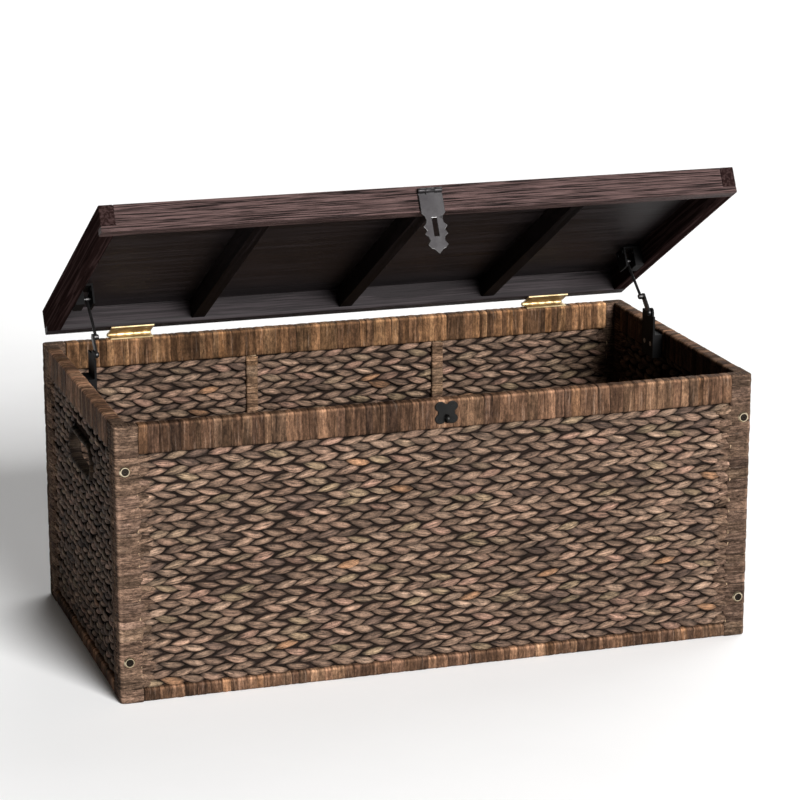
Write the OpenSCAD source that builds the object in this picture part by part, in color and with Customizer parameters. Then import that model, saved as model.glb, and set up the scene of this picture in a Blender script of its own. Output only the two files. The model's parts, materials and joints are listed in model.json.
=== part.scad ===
// Wicker storage trunk with a wooden lid.
// Four wrapped and woven wall panels are bolted at the corners, and the lid turns on two
// butt hinges along the back rim. Everything is drawn with the lid propped open.
// Millimetres, +X right, +Y back, +Z up. The origin is the centre of the trunk's underside.

/* [Body] */
// Width of the body
body_w = 915; // [900:5:930]
// Depth of the body
body_d = 491; // [480:1:500]
// Height of the body without the lid
body_h = 387; // [380:1:395]
// Thickness of a wall, with its wrapping
wall_t = 20.5; // [19:0.5:22]
// Height of the wrapped top rail
top_rail_h = 41; // [38:1:44]
// Height of the wrapped bottom rail
bottom_rail_h = 18.5; // [16:0.5:22]
// Width of a front or back corner stile
stile_w = 33; // [30:1:40]
// Width of a corner stile on a side wall
side_stile_w = 26; // [22:1:30]
// Thickness of the strips wound on the frame
wrap_t = 2.5; // [1.5:0.5:3]
// Rounding of the outer vertical edges
corner_r = 7; // [4:1:8]
// Thickness of the woven field
weave_t = 15; // [12:1:16]

/* [Hand holes] */
// Clear length of a hand hole
hand_hole_l = 130; // [110:5:140]
// Clear height of a hand hole
hand_hole_h = 38; // [32:1:42]
// Height of a hand hole's centre
hand_hole_z = 284; // [270:1:290]
// Width of the wrapped lip round a hand hole
hand_lip_w = 8; // [6:1:10]

/* [Lid] */
// Angle at which the stays hold the lid
lid_angle = 29.43; // [29.43]
// Width of the lid
lid_w = 907; // [900:1:910]
// Thickness of the lid's rails
lid_rail_t = 20; // [18:1:22]
// Height of the lid's rails
lid_h = 37.6; // [36:0.2:38]
// Thickness of the lid's top panel
lid_panel_t = 5; // [4:0.5:6]
// How far the lid's front stands out beyond the body
lid_overhang = 2.5; // [2.5]
// How far the lid's back edge lies inside the body's back
lid_setback = 14.5; // [14:0.5:16]

/* [Hardware] */
// Distance of each hinge from the middle
hinge_x = 326; // [300:1:340]
// Length of each hinge
hinge_l = 64; // [60:1:70]
// Width of the hasp
hasp_w = 34; // [34]
// How far right of the middle the hasp and its staple sit
hasp_x = 2.5; // [0:0.5:5]
// Height of the corner bolts, upper pair
bolt_high_z = 325; // [310:1:335]
// Height of the corner bolts, lower pair
bolt_low_z = 58.5; // [50:0.5:70]

/* [Hidden] */

$fn = 48;
joint_gap = 0.05;    // radial clearance of a pin in its hole
tiny = 0.01;         // overrun of a cut past a face

// Body planes
half_w = body_w / 2;
half_d = body_d / 2;
inner_x = half_w - wall_t;
inner_y = half_d - wall_t;
field_bottom = bottom_rail_h;
field_top = body_h - top_rail_h;
field_h = field_top - field_bottom;
core_t = wall_t - 2 * wrap_t;
upright_x = [-144, 149];
upright_w = 18;
upright_t = 10;
bolt_x = half_w - wall_t / 2 - 3;
bolt_r = 3;
insert_r = 4.5;
insert_l = 24;
bolt_l = 42;
washer_r = 7.75;
washer_h = 2.2;
head_r = 5.2;
floor_z = 12;
floor_t = 8;
batten_w = 40;
batten_x = [-300, 0, 300];

// Lid hinge line, half way up the closed gap that the hinge leaves fill
leaf_t = 1.85;
gap_h = 4;
hinge_y = half_d + 3.2;
hinge_z = body_h + gap_h / 2;
knuckle_r = 3.3;
pin_r = 1.6;
knuckles = 5;
knuckle_gap = 0.3;
knuckle_l = (hinge_l - (knuckles - 1) * knuckle_gap) / knuckles;
body_leaf_d = wall_t - 1.5;
lid_leaf_d = 17.5;

// Lid planes, given for the closed lid
lid_z = body_h + gap_h;
lid_top = lid_z + lid_h;
lid_front = -half_d - lid_overhang;
lid_back = half_d - lid_setback;
lid_d = lid_back - lid_front;
lid_inner_x = lid_w / 2 - lid_rail_t;
lap_h = lid_h / 4;
rib_w = 20;
rib_h = 28;
rib_x = [-227, 0, 227];

// Hasp, given for the closed lid
hasp_r = 3.5;
hasp_pin_r = 1.5;
hasp_pin_y = lid_front - hasp_r - 0.1;
hasp_pin_z = lid_top - 8.6;
hasp_leaf_t = 1.8;
hasp_leaf_low = lid_z + 2;
hasp_knuckle_l = 12.5;
hasp_t = 2;
strap_gap = 0.3;
strap_back = lid_front - hasp_leaf_t - strap_gap;
strap_tip_z = 329.8;
slot_w = 7;
slot_low = 354.5;
slot_high = 381;

// Staple on the front rim
staple_z = 369;
staple_w = 26;
staple_h = 29;
staple_plate_t = 2;
eye_z = 361.3;
eye_r = 6;
eye_hole_r = 3;
eye_t = 4.4;
eye_y = -half_d - staple_plate_t - eye_hole_r - 0.4;

// Lid stays. Points are [y, z] on the left and right alike
stay_foot = [41, 413.5];
stay_arm = 30;
stay_elbow_rise = 4;
block_s = 137;
block_n = 10;
stay_head = lid_open_point(lid_back - block_s, lid_z + block_n);
stay_line = atan2(stay_head[1] - stay_foot[1], stay_head[0] - stay_foot[0]);
stay_elbow = stay_foot + stay_arm * [cos(stay_line + stay_elbow_rise),
                                     sin(stay_line + stay_elbow_rise)];
lever_x = [416.8, 419.8];
rod_x = [411.8, 416.2];
bracket_x = [421, 424];
stay_pin_r = 2;
lever_w = 9.5;
rod_r = 2.1;
block_x = [405.5, 408.3];
block_outer_x = 420.6;
block_l = 32;
block_h = 30;

// Where a point [y, z] of the closed lid is with the lid open
function lid_open_point(y, z) =
    [hinge_y + (y - hinge_y) * cos(lid_angle) + (z - hinge_z) * sin(lid_angle),
     hinge_z - (y - hinge_y) * sin(lid_angle) + (z - hinge_z) * cos(lid_angle)];

// ---------- shared shapes ----------

// A block given by two opposite corners
module block(low, high) {
    translate(low) cube(high - low);
}

// A round bar along X from x0 to x1
module bar_x(r, x0, x1, y, z) {
    translate([x0, y, z]) rotate([0, 90, 0]) cylinder(r = r, h = x1 - x0);
}

// A round bar along Y from y0 to y1
module bar_y(r, y0, y1, x, z) {
    translate([x, y0, z]) rotate([-90, 0, 0]) cylinder(r = r, h = y1 - y0);
}

// What is drawn inside turns from the closed lid's place to the open one
module on_open_lid() {
    translate([0, hinge_y, hinge_z])
        rotate([-lid_angle, 0, 0])
            translate([0, -hinge_y, -hinge_z]) children();
}

// What is drawn inside, once as it is and once mirrored left to right
module both_sides() {
    children();
    mirror([1, 0, 0]) children();
}

// A countersunk wood screw pointing down from the origin, its head's face at z = 0
module wood_screw(length = 14, head = 3.6, shank = 1.7) {
    difference() {
        union() {
            translate([0, 0, -head / 2]) cylinder(r1 = shank, r2 = head, h = head / 2);
            translate([0, 0, -length]) cylinder(r = shank, h = length - head / 2 + tiny);
        }
        for (turn = [0, 90])
            rotate(turn) translate([-head * 0.6, -0.4, -0.9]) cube([head * 1.2, 0.8, 1]);
    }
}

// ---------- wall panels ----------

// The wooden frame of a wall, lying along X and centred on y = 0
module frame_core(length, stile) {
    low = wrap_t;
    for (side = [-1, 1])
        translate([side * (length / 2 - stile / 2), 0, 0])
            block([wrap_t - stile / 2, -core_t / 2, low],
                  [stile / 2 - wrap_t, core_t / 2, body_h - wrap_t]);
    for (span = [[low, field_bottom - wrap_t], [field_top + wrap_t, body_h - wrap_t]])
        block([wrap_t - length / 2, -core_t / 2, span[0]],
              [length / 2 - wrap_t, core_t / 2, span[1]]);
}

// The strips wound on a rail, from the height z0 to z1
module rail_wrap(length, stile, z0, z1) {
    difference() {
        block([stile - length / 2, -wall_t / 2, z0], [length / 2 - stile, wall_t / 2, z1]);
        frame_core(length, stile);
    }
}

// The strips wound on both stiles. round_r rounds the outer edge on the -Y side
module stile_wraps(length, stile, round_r = 0) {
    difference() {
        for (side = [0, 1])
            mirror([side, 0, 0]) linear_extrude(body_h) difference() {
                translate([length / 2 - stile, -wall_t / 2]) square([stile, wall_t]);
                if (round_r > 0) translate([length / 2 - round_r, -wall_t / 2]) difference() {
                    translate([0, -tiny]) square([round_r + tiny, round_r + tiny]);
                    translate([0, round_r]) circle(round_r);
                }
            }
        frame_core(length, stile);
    }
}

// The woven field of a wall
module weave_field(length, stile) {
    block([stile - length / 2, -weave_t / 2, field_bottom],
          [length / 2 - stile, weave_t / 2, field_top]);
}

// Bolt holes through a front or back panel, which is centred on y = 0
module bolt_holes(r = bolt_r + 0.2) {
    for (x = [-bolt_x, bolt_x], z = [bolt_low_z, bolt_high_z])
        bar_y(r, -wall_t, wall_t, x, z);
}

// Places a panel that is drawn along X at the front, back, left or right
module at_front() {
    translate([0, -half_d + wall_t / 2, 0]) children();
}

module at_back() {
    rotate(180) at_front() children();
}

module at_right() {
    rotate(90) translate([0, -half_w + wall_t / 2, 0]) children();
}

module at_left() {
    rotate(-90) translate([0, -half_w + wall_t / 2, 0]) children();
}

side_l = 2 * inner_y;
insert_y = inner_y - insert_l;

// Blind holes for the threaded inserts, in the side frames' stiles
module insert_holes() {
    for (x = [-bolt_x, bolt_x], z = [bolt_low_z, bolt_high_z]) {
        bar_y(insert_r, -inner_y - tiny, -insert_y, x, z);
        bar_y(insert_r, insert_y, inner_y + tiny, x, z);
    }
}

module main_frame() {
    difference() {
        frame_core(body_w, stile_w);
        bolt_holes();
    }
}

module front_frame() {
    color("peru") at_front() main_frame();
}

module back_frame() {
    color("peru") {
        at_back() main_frame();
        for (x = upright_x)
            block([x - upright_w / 2 + wrap_t, inner_y + wrap_t, field_bottom - wrap_t],
                  [x + upright_w / 2 - wrap_t, inner_y + upright_t - wrap_t,
                   field_top + wrap_t]);
    }
}

module right_frame() {
    color("peru") difference() {
        at_right() frame_core(side_l, side_stile_w);
        insert_holes();
    }
}

module left_frame() {
    color("peru") difference() {
        at_left() frame_core(side_l, side_stile_w);
        insert_holes();
    }
}

module top_wrap(length, stile) {
    color("tan") rail_wrap(length, stile, field_top, body_h);
}

module bottom_wrap(length, stile) {
    color("tan") rail_wrap(length, stile, 0, field_bottom);
}

module main_stile_wraps() {
    color("rosybrown") difference() {
        stile_wraps(body_w, stile_w, corner_r);
        bolt_holes();
    }
}

module front_top_wrap() {
    at_front() top_wrap(body_w, stile_w);
}

module front_bottom_wrap() {
    at_front() bottom_wrap(body_w, stile_w);
}

module front_stile_wraps() {
    at_front() main_stile_wraps();
}

// The rails' wrapping is left open where the back uprights' wood runs into the rails
module upright_sockets() {
    for (x = upright_x)
        block([x - upright_w / 2 + wrap_t, inner_y + wrap_t, field_bottom - wrap_t - tiny],
              [x + upright_w / 2 - wrap_t, inner_y + upright_t - wrap_t,
               field_top + wrap_t + tiny]);
}

module back_top_wrap() {
    color("tan") difference() {
        at_back() top_wrap(body_w, stile_w);
        upright_sockets();
    }
}

module back_bottom_wrap() {
    color("tan") difference() {
        at_back() bottom_wrap(body_w, stile_w);
        upright_sockets();
    }
}

module back_stile_wraps() {
    at_back() main_stile_wraps();
}

module back_upright_wraps() {
    color("tan") difference() {
        for (x = upright_x)
            block([x - upright_w / 2, inner_y, field_bottom],
                  [x + upright_w / 2, inner_y + upright_t, field_top]);
        upright_sockets();
    }
}

module side_stile_wraps() {
    color("rosybrown") stile_wraps(side_l, side_stile_w);
}

module right_top_wrap() {
    at_right() top_wrap(side_l, side_stile_w);
}

module right_bottom_wrap() {
    at_right() bottom_wrap(side_l, side_stile_w);
}

module right_stile_wraps() {
    difference() {
        at_right() side_stile_wraps();
        insert_holes();
    }
}

module left_top_wrap() {
    at_left() top_wrap(side_l, side_stile_w);
}

module left_bottom_wrap() {
    at_left() bottom_wrap(side_l, side_stile_w);
}

module left_stile_wraps() {
    difference() {
        at_left() side_stile_wraps();
        insert_holes();
    }
}

module front_weave() {
    color("sienna") at_front() weave_field(body_w, stile_w);
}

module back_weave() {
    color("sienna") difference() {
        at_back() weave_field(body_w, stile_w);
        for (x = upright_x)
            block([x - upright_w / 2, inner_y - tiny, field_bottom - tiny],
                  [x + upright_w / 2, inner_y + upright_t, field_top + tiny]);
    }
}

// A slot-shaped outline with round ends, lying along X
module stadium(length, height) {
    square([length - height, height], center = true);
    for (side = [-1, 1])
        translate([side * (length - height) / 2, 0]) circle(d = height);
}

// A stadium pushed through a side wall, in the panel's own place
module side_stadium(length, height, thickness) {
    translate([0, thickness / 2, hand_hole_z]) rotate([90, 0, 0])
        linear_extrude(thickness) stadium(length, height);
}

module side_weave() {
    color("sienna") difference() {
        weave_field(side_l, side_stile_w);
        side_stadium(hand_hole_l + 2 * hand_lip_w, hand_hole_h + 2 * hand_lip_w, wall_t);
    }
}

module hand_hole_lip() {
    color("saddlebrown") difference() {
        side_stadium(hand_hole_l + 2 * hand_lip_w, hand_hole_h + 2 * hand_lip_w, weave_t + 2);
        side_stadium(hand_hole_l, hand_hole_h, wall_t);
    }
}

module right_weave() {
    at_right() side_weave();
}

module left_weave() {
    at_left() side_weave();
}

module right_hand_hole_lip() {
    at_right() hand_hole_lip();
}

module left_hand_hole_lip() {
    at_left() hand_hole_lip();
}

// ---------- floor of the trunk ----------

module bottom_panel() {
    color("dimgray")
        block([-inner_x, -inner_y, floor_z], [inner_x, inner_y, floor_z + floor_t]);
}

module bottom_battens() {
    color("peru") for (x = batten_x)
        block([x - batten_w / 2, -inner_y, 0], [x + batten_w / 2, inner_y, floor_z]);
}

// ---------- corner fasteners ----------

// Draws its children at each corner bolt, on the front and the back, pointing inwards along +Y
module at_corner_bolts() {
    for (turn = [0, 180], x = [-bolt_x, bolt_x], z = [bolt_low_z, bolt_high_z])
        rotate(turn) translate([x, -half_d, z]) children();
}

module corner_bolts() {
    color("dimgray") at_corner_bolts() rotate([-90, 0, 0]) difference() {
        union() {
            translate([0, 0, -washer_h + 0.6]) cylinder(r1 = head_r, r2 = head_r - 1, h = 1.5);
            translate([0, 0, -0.2]) cylinder(r = bolt_r, h = bolt_l);
        }
        translate([0, 0, -washer_h]) cylinder(r = 2, h = 1.9, $fn = 6);
    }
}

module bolt_washers() {
    color("goldenrod") at_corner_bolts() rotate([-90, 0, 0]) difference() {
        translate([0, 0, -washer_h]) cylinder(r1 = washer_r - 1.6, r2 = washer_r, h = washer_h);
        translate([0, 0, -washer_h - tiny]) cylinder(r = head_r + 0.1, h = washer_h);
        translate([0, 0, -washer_h]) cylinder(r = bolt_r + joint_gap, h = 2 * washer_h);
    }
}

module threaded_inserts() {
    color("goldenrod") at_corner_bolts() translate([0, wall_t, 0]) rotate([-90, 0, 0])
        difference() {
            cylinder(r = insert_r, h = insert_l);
            translate([0, 0, -tiny]) cylinder(r = bolt_r + joint_gap, h = insert_l + 2 * tiny);
        }
}

// ---------- staple for the hasp ----------

staple_screw_x = staple_w / 2 - 4.5;
staple_screw_z = staple_h / 2 - 4.5;

module staple_screw_places() {
    for (x = [-staple_screw_x, staple_screw_x], z = [-staple_screw_z, staple_screw_z])
        translate([hasp_x + x, -half_d - staple_plate_t, staple_z + z])
            rotate([90, 0, 0]) children();
}

module staple() {
    plate_mid_y = -half_d - staple_plate_t / 2;
    color("darkslategray") difference() {
        translate([hasp_x, 0, 0]) {
            block([-staple_w / 2, -half_d - staple_plate_t, staple_z - staple_h / 2],
                  [staple_w / 2, -half_d, staple_z + staple_h / 2]);
            intersection() {
                bar_x(eye_r, -eye_t / 2, eye_t / 2, eye_y, eye_z);
                block([-staple_w, -body_d, 0], [staple_w, plate_mid_y, body_h]);
            }
            block([-eye_t / 2, eye_y, eye_z - eye_r], [eye_t / 2, plate_mid_y, eye_z + eye_r]);
        }
        bar_x(eye_hole_r, hasp_x - eye_t, hasp_x + eye_t, eye_y, eye_z);
        staple_screw_places() countersink();
    }
}

module staple_screws() {
    color("dimgray") staple_screw_places() wood_screw(length = 13);
}

// ---------- butt hinges ----------

// Start of knuckle number i along a hinge whose left end is at x = 0
function knuckle_x(i) = i * (knuckle_l + knuckle_gap);

hinge_screw_x = [10, hinge_l / 2, hinge_l - 10];
leaf_edge = hinge_y - knuckle_r - 0.3;
body_leaf_front = half_d - body_leaf_d;
lid_leaf_front = lid_back - lid_leaf_d;
body_screw_y = (body_leaf_front + leaf_edge) / 2;
lid_screw_y = lid_back - lid_leaf_d / 2;

// The hole of a countersunk screw whose head faces up at z = 0
module countersink() {
    translate([0, 0, -1.8]) cylinder(r1 = 1.8, r2 = 3.7, h = 1.9);
    translate([0, 0, -3]) cylinder(r = 1.8, h = 3);
}

// One leaf of a hinge at x, for the closed lid, without screw holes. first is the number of
// its first knuckle, front is the y of its front edge and z0 is its underside
module hinge_leaf(x, first, front, z0) {
    difference() {
        translate([x - hinge_l / 2, 0, 0]) {
            block([0, front, z0], [hinge_l, leaf_edge, z0 + leaf_t]);
            for (i = [first : 2 : knuckles - 1]) {
                block([knuckle_x(i), leaf_edge - 1, z0],
                      [knuckle_x(i) + knuckle_l, hinge_y, z0 + leaf_t]);
                bar_x(knuckle_r, knuckle_x(i), knuckle_x(i) + knuckle_l, hinge_y, hinge_z);
            }
        }
        bar_x(pin_r + joint_gap, x - hinge_l, x + hinge_l, hinge_y, hinge_z);
    }
}

// Screw places on the leaves at x, on the rim with the heads up and on the lid with them down
module body_leaf_screw_places(x) {
    for (sx = hinge_screw_x)
        translate([x - hinge_l / 2 + sx, body_screw_y, body_h + leaf_t]) children();
}

module lid_leaf_screw_places(x) {
    for (sx = hinge_screw_x)
        translate([x - hinge_l / 2 + sx, lid_screw_y, lid_z - leaf_t])
            rotate([180, 0, 0]) children();
}

module body_leaf(x) {
    color("goldenrod") difference() {
        hinge_leaf(x, 0, body_leaf_front, body_h);
        body_leaf_screw_places(x) countersink();
    }
}

module lid_leaf(x) {
    color("goldenrod") on_open_lid() difference() {
        hinge_leaf(x, 1, lid_leaf_front, lid_z - leaf_t);
        lid_leaf_screw_places(x) countersink();
    }
}

module left_hinge_body_leaf() {
    body_leaf(-hinge_x);
}

module right_hinge_body_leaf() {
    body_leaf(hinge_x);
}

module left_hinge_lid_leaf() {
    lid_leaf(-hinge_x);
}

module right_hinge_lid_leaf() {
    lid_leaf(hinge_x);
}

module hinge_pin(x) {
    color("goldenrod") {
        bar_x(pin_r, x - hinge_l / 2, x + hinge_l / 2, hinge_y, hinge_z);
        for (side = [-1, 1])
            translate([x + side * (hinge_l / 2 + 0.1), hinge_y, hinge_z])
                rotate([0, side * 90, 0]) cylinder(r1 = 2.6, r2 = 1.6, h = 1.2);
    }
}

module left_hinge_pin() {
    hinge_pin(-hinge_x);
}

module right_hinge_pin() {
    hinge_pin(hinge_x);
}

module hinge_body_screws() {
    color("darkgoldenrod") for (x = [-hinge_x, hinge_x])
        body_leaf_screw_places(x) wood_screw();
}

module hinge_lid_screws() {
    color("darkgoldenrod") on_open_lid() for (x = [-hinge_x, hinge_x])
        lid_leaf_screw_places(x) wood_screw();
}

// ---------- lid ----------

// The ends of a front or back board: the side rail laps over its upper part
module lap_ends(y0, y1) {
    both_sides()
        block([lid_inner_x, y0 - tiny, lid_z + lap_h],
              [lid_w / 2 + tiny, y1 + tiny, lid_top + tiny]);
}

module lid_cross_rail(y0) {
    color("saddlebrown") on_open_lid() difference() {
        block([-lid_w / 2, y0, lid_z], [lid_w / 2, y0 + lid_rail_t, lid_top]);
        lap_ends(y0, y0 + lid_rail_t);
    }
}

module lid_front_rail() {
    lid_cross_rail(lid_front);
}

module lid_back_rail() {
    lid_cross_rail(lid_back - lid_rail_t);
}

// The right-hand side rail. Its ends run over the cross rails' lower part
module side_rail() {
    difference() {
        block([lid_inner_x, lid_front, lid_z], [lid_w / 2, lid_back, lid_top]);
        for (y = [lid_front, lid_back - lid_rail_t])
            block([lid_inner_x - tiny, y - tiny, lid_z - tiny],
                  [lid_w / 2 + tiny, y + lid_rail_t + tiny, lid_z + lap_h]);
    }
}

module lid_right_rail() {
    color("saddlebrown") on_open_lid() side_rail();
}

module lid_left_rail() {
    color("saddlebrown") on_open_lid() mirror([1, 0, 0]) side_rail();
}

module lid_panel() {
    color("sienna") on_open_lid()
        block([-lid_inner_x, lid_front + lid_rail_t, lid_top - lid_panel_t],
              [lid_inner_x, lid_back - lid_rail_t, lid_top]);
}

module lid_ribs() {
    color("saddlebrown") on_open_lid() for (x = rib_x)
        block([x - rib_w / 2, lid_front + lid_rail_t, lid_top - lid_panel_t - rib_h],
              [x + rib_w / 2, lid_back - lid_rail_t, lid_top - lid_panel_t]);
}

// ---------- hasp ----------

hasp_screw_x = 10;
hasp_screw_z = [hasp_leaf_low + 5, hasp_leaf_low + 17];

// What is drawn inside is in the middle of the closed lid, and moves to the hasp's place
module at_hasp() {
    on_open_lid() translate([hasp_x, 0, 0]) children();
}

// A round bar along the hasp's pin, from x0 to x1
module hasp_bar(r, x0, x1) {
    bar_x(r, x0, x1, hasp_pin_y, hasp_pin_z);
}

module hasp_screw_places() {
    for (x = [-hasp_screw_x, hasp_screw_x], z = hasp_screw_z)
        translate([x, lid_front - hasp_leaf_t, z]) rotate([90, 0, 0]) children();
}

// The fixed leaf on the lid's front, hidden behind the strap, with the two outer knuckles
module hasp_leaf() {
    inner = hasp_knuckle_l / 2 + knuckle_gap;
    plate_top = hasp_pin_z - hasp_r - 0.5;
    color("dimgray") at_hasp() difference() {
        union() {
            block([-hasp_w / 2, lid_front - hasp_leaf_t, hasp_leaf_low],
                  [hasp_w / 2, lid_front, plate_top]);
            both_sides() {
                block([inner, lid_front - hasp_leaf_t, plate_top - 1],
                      [hasp_w / 2, lid_front, hasp_pin_z]);
                hasp_bar(hasp_r, inner, hasp_w / 2);
            }
        }
        hasp_bar(hasp_pin_r + joint_gap, -hasp_w, hasp_w);
        hasp_screw_places() countersink();
    }
}

// Half of the strap's outline: [half width, height above the tip]. From below it has a
// spear point, a small lobe, two barbs and the neck that widens to the square shoulder
strap_half = [[0, 0], [6.4, 6.5], [10.4, 8.2], [14.4, 12.9], [10.3, 18.7], [11.9, 24.7],
              [16.6, 28.2], [12.5, 33.6], [17, 39.4], [12.8, 43.6], [11.5, 48.7], [12.7, 53.7],
              [17, 58.2], [17, 84.5], [6.25, 84.5], [6.25, 90.2]];

// The strap's flat outline, seen from the front, with the tip at the origin
module strap_outline() {
    difference() {
        polygon(concat(strap_half, [for (i = [len(strap_half) - 1 : -1 : 1])
                                    [-strap_half[i][0], strap_half[i][1]]]));
        translate([-slot_w / 2, slot_low - strap_tip_z]) square([slot_w, slot_high - slot_low]);
    }
}

module hasp_strap() {
    color("dimgray") at_hasp() difference() {
        union() {
            translate([0, strap_back, strap_tip_z]) rotate([90, 0, 0])
                linear_extrude(hasp_t) strap_outline();
            hasp_bar(hasp_r, -hasp_knuckle_l / 2, hasp_knuckle_l / 2);
        }
        hasp_bar(hasp_pin_r + joint_gap, -hasp_w, hasp_w);
    }
}

module hasp_pin() {
    color("gray") at_hasp() hasp_bar(hasp_pin_r, -hasp_w / 2, hasp_w / 2);
}

module hasp_screws() {
    color("gray") at_hasp() hasp_screw_places() wood_screw();
}

// ---------- lid stays, drawn on the right and mirrored for the left ----------

bracket_low = 346;
bracket_top = 409;
bracket_eye_r = 7;
foot_y = [30, 72];
bracket_screw_y = [40, 62];
bracket_screw_z = 366;

// The bracket on the wall, which carries the lever's pivot stud above the rim
module stay_bracket() {
    difference() {
        union() {
            block([bracket_x[0], foot_y[0], bracket_low],
                  [bracket_x[1], foot_y[1], bracket_top]);
            block([bracket_x[0], stay_foot[0] - bracket_eye_r, bracket_top - tiny],
                  [bracket_x[1], foot_y[1], stay_foot[1]]);
            bar_x(bracket_eye_r, bracket_x[0], bracket_x[1], stay_foot[0], stay_foot[1]);
            block([bracket_x[1], foot_y[0], bracket_low],
                  [inner_x, foot_y[1], body_h - 6]);
            bar_x(stay_pin_r, lever_x[0] - 1.4, bracket_x[1], stay_foot[0], stay_foot[1]);
            bar_x(3.4, lever_x[0] - 1.6, lever_x[0] - 0.3, stay_foot[0], stay_foot[1]);
        }
        for (y = bracket_screw_y) {
            bar_x(1.8, bracket_x[0] - 1, inner_x + 1, y, bracket_screw_z);
            translate([bracket_x[0], y, bracket_screw_z]) rotate([0, -90, 0]) countersink();
        }
    }
}

module stay_bracket_screw_pair() {
    for (y = bracket_screw_y)
        translate([bracket_x[0], y, bracket_screw_z]) rotate([0, -90, 0])
            wood_screw(length = 28);
}

// A flat bar with round ends between two points [y, z], from x0 to x1
module link_bar(from, to, width, x0, x1) {
    angle = atan2(to[1] - from[1], to[0] - from[0]);
    length = norm(to - from);
    translate([x0, from[0], from[1]]) rotate([angle, 0, 0]) {
        translate([0, 0, -width / 2]) cube([x1 - x0, length, width]);
        rotate([0, 90, 0]) cylinder(d = width, h = x1 - x0);
        translate([0, length, 0]) rotate([0, 90, 0]) cylinder(d = width, h = x1 - x0);
    }
}

// The lever swings on the bracket's stud and carries the elbow's rivet
module stay_lever() {
    difference() {
        link_bar(stay_foot, stay_elbow, lever_w, lever_x[0], lever_x[1]);
        bar_x(stay_pin_r + joint_gap, lever_x[0] - 1, lever_x[1] + 1, stay_foot[0], stay_foot[1]);
    }
    bar_x(stay_pin_r, rod_x[0] - 0.9, lever_x[0] + 1, stay_elbow[0], stay_elbow[1]);
    bar_x(3.2, rod_x[0] - 1.6, rod_x[0] - 0.3, stay_elbow[0], stay_elbow[1]);
}

// The rod runs from the elbow up into the lid's block, where its trunnion ends
module stay_rod() {
    line = stay_head - stay_elbow;
    along = line / norm(line);
    rod_mid_x = (rod_x[0] + rod_x[1]) / 2;
    difference() {
        union() {
            for (end = [stay_elbow, stay_head])
                bar_x(4.2, rod_x[0], rod_x[1], end[0], end[1]);
            translate([rod_mid_x, stay_elbow[0], stay_elbow[1]])
                rotate([atan2(line[1], line[0]) - 90, 0, 0])
                    cylinder(r = rod_r, h = norm(line));
        }
        bar_x(stay_pin_r + joint_gap, rod_x[0] - 1, rod_x[1] + 1, stay_elbow[0], stay_elbow[1]);
    }
    bar_x(2.6, block_x[1] + 0.5, block_outer_x - 0.5, stay_head[0], stay_head[1]);
}

block_y = lid_back - block_s;
block_screw_y = [block_y - block_l / 2 + 6, block_y + block_l / 2 - 6];
block_screw_z = lid_z + 22;

// The block on the lid's side rail: two cheeks and a web, open below for the rod
module stay_lid_block() {
    on_open_lid() {
        y0 = block_y - block_l / 2;
        y1 = block_y + block_l / 2;
        z0 = lid_z - 1.5;
        z1 = z0 + block_h;
        difference() {
            block([block_x[0], y0, z0], [lid_inner_x, y1, z1]);
            block([block_x[1], y0 - 1, z0 - 1], [block_outer_x, y1 + 1, z1 - 3]);
            for (y = block_screw_y) {
                bar_x(4, block_x[0] - 1, block_x[1] + 1, y, block_screw_z);
                bar_x(1.8, block_x[0] - 1, lid_inner_x + 1, y, block_screw_z);
                translate([block_outer_x, y, block_screw_z]) rotate([0, -90, 0]) countersink();
            }
        }
    }
}

module stay_block_screw_pair() {
    on_open_lid() for (y = block_screw_y)
        translate([block_outer_x, y, block_screw_z]) rotate([0, -90, 0])
            wood_screw(length = 24);
}

module right_stay_bracket() {
    color("black") stay_bracket();
}

module left_stay_bracket() {
    mirror([1, 0, 0]) right_stay_bracket();
}

module right_stay_lever() {
    color("dimgray") stay_lever();
}

module left_stay_lever() {
    mirror([1, 0, 0]) right_stay_lever();
}

module right_stay_rod() {
    color("dimgray") stay_rod();
}

module left_stay_rod() {
    mirror([1, 0, 0]) right_stay_rod();
}

module right_stay_lid_block() {
    color("black") stay_lid_block();
}

module left_stay_lid_block() {
    mirror([1, 0, 0]) right_stay_lid_block();
}

module stay_bracket_screws() {
    color("silver") both_sides() stay_bracket_screw_pair();
}

module stay_block_screws() {
    color("silver") both_sides() stay_block_screw_pair();
}

front_frame();
back_frame();
left_frame();
right_frame();
front_top_wrap();
front_bottom_wrap();
front_stile_wraps();
back_top_wrap();
back_bottom_wrap();
back_stile_wraps();
back_upright_wraps();
left_top_wrap();
left_bottom_wrap();
left_stile_wraps();
right_top_wrap();
right_bottom_wrap();
right_stile_wraps();
front_weave();
back_weave();
left_weave();
right_weave();
left_hand_hole_lip();
right_hand_hole_lip();
bottom_panel();
bottom_battens();
corner_bolts();
bolt_washers();
threaded_inserts();
staple();
staple_screws();
left_hinge_body_leaf();
right_hinge_body_leaf();
left_hinge_lid_leaf();
right_hinge_lid_leaf();
left_hinge_pin();
right_hinge_pin();
hinge_body_screws();
hinge_lid_screws();
lid_front_rail();
lid_back_rail();
lid_left_rail();
lid_right_rail();
lid_panel();
lid_ribs();
hasp_leaf();
hasp_strap();
hasp_pin();
hasp_screws();
left_stay_bracket();
right_stay_bracket();
left_stay_lever();
right_stay_lever();
left_stay_rod();
right_stay_rod();
left_stay_lid_block();
right_stay_lid_block();
stay_bracket_screws();
stay_block_screws();
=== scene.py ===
import json
import math

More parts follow.
